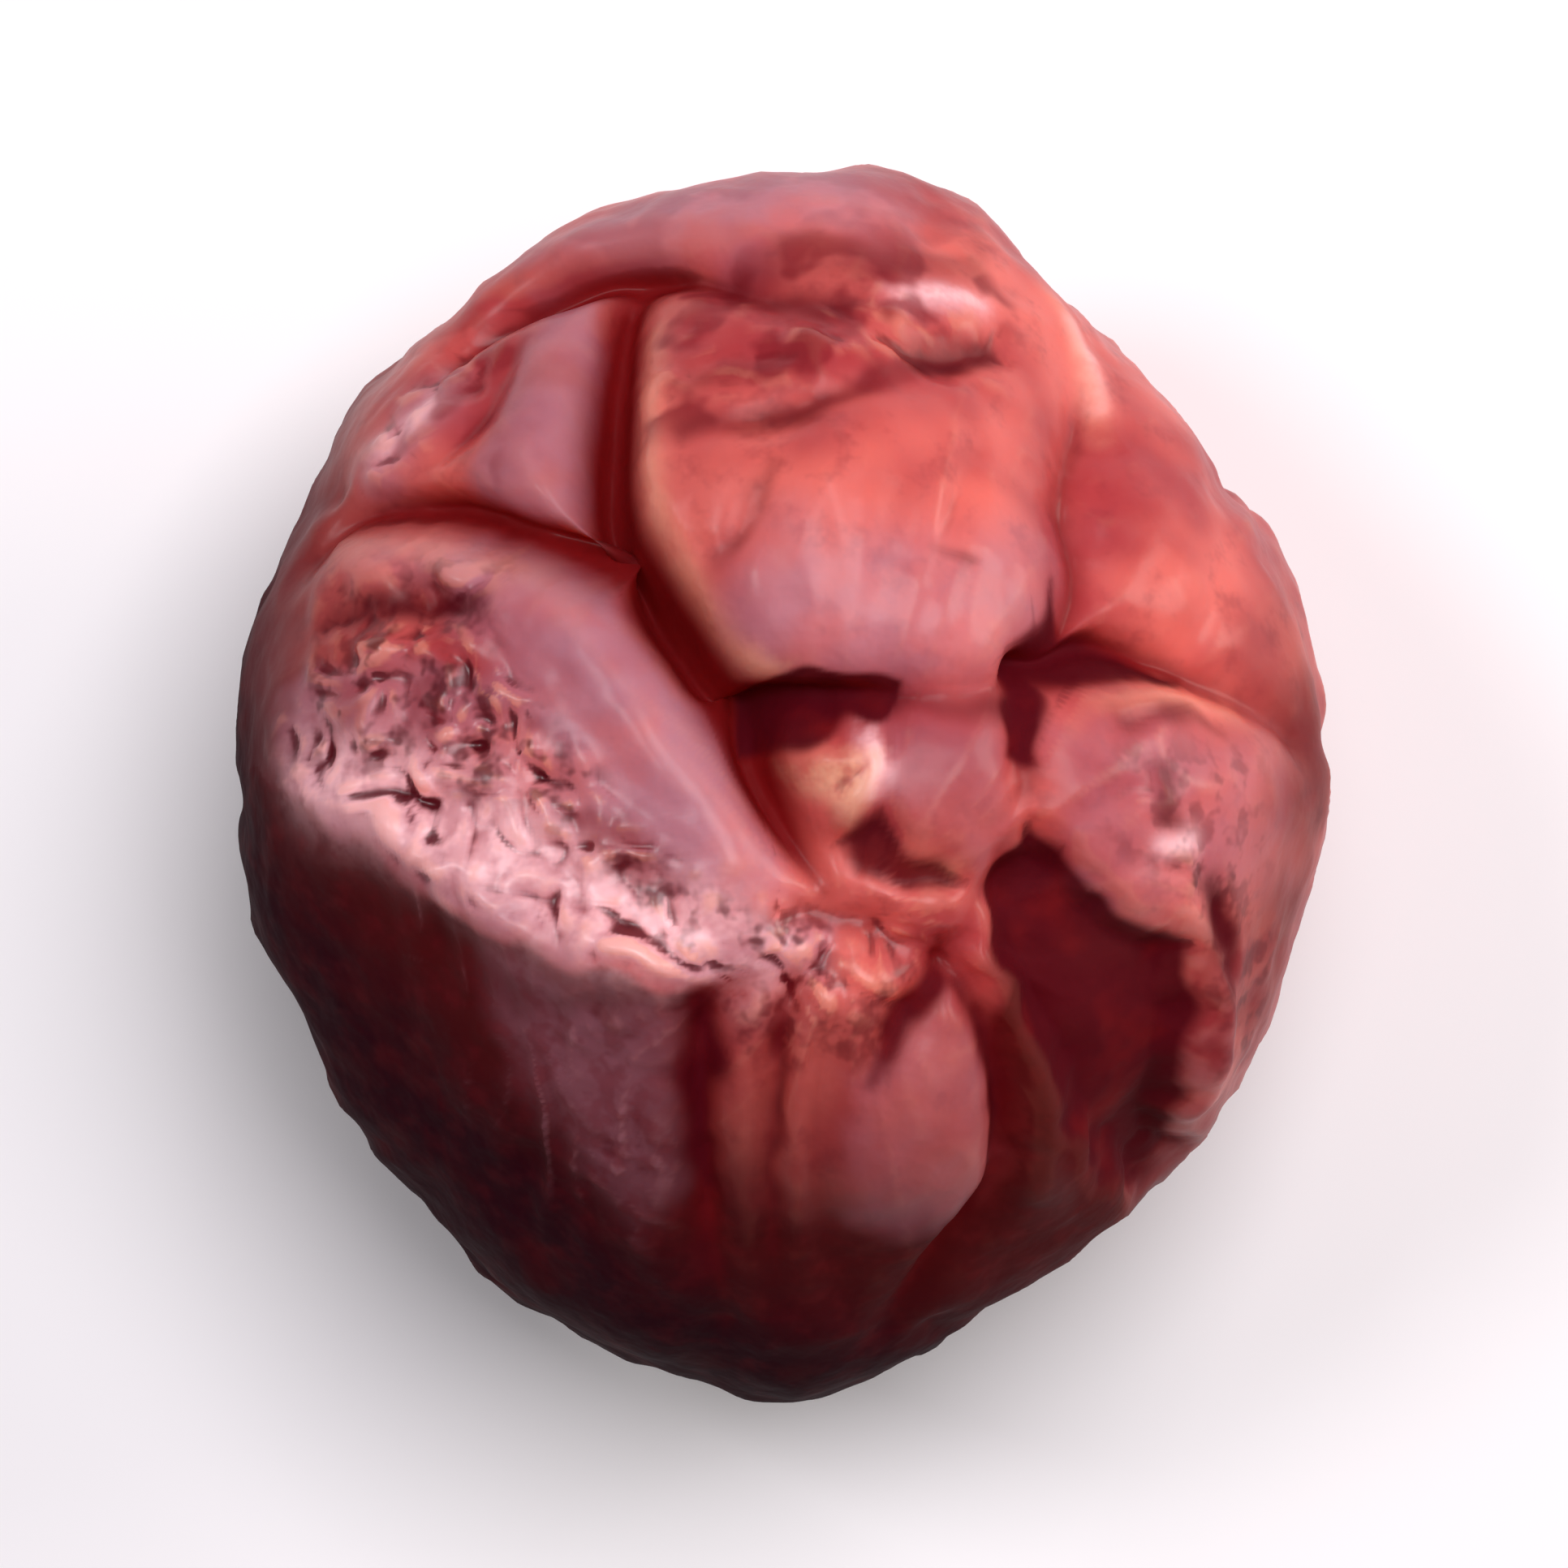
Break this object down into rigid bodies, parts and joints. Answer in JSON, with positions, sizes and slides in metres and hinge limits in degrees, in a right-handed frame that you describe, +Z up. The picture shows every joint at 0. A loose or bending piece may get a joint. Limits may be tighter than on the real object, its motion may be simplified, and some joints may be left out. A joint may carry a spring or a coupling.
{
  "type": "dried cranberry",
  "caption": "Whole dried cranberry with folded, wrinkled skin and a stalk scar, lying on a small flat spot.",
  "frame": {"origin": "centre of the berry's outline seen from above, at the level of the flat spot it rests on", "axes": "+Z up, +Y along the berry's longest extent, +X across it"},
  "size_m": [0.0106, 0.012, 0.0084],
  "materials": {
    "skin": "glossy, slightly translucent dark red dried skin with fine wrinkles"
  },
  "bodies": {
    "root": {"cranberry": "skin"}
  },
  "joints": []
}
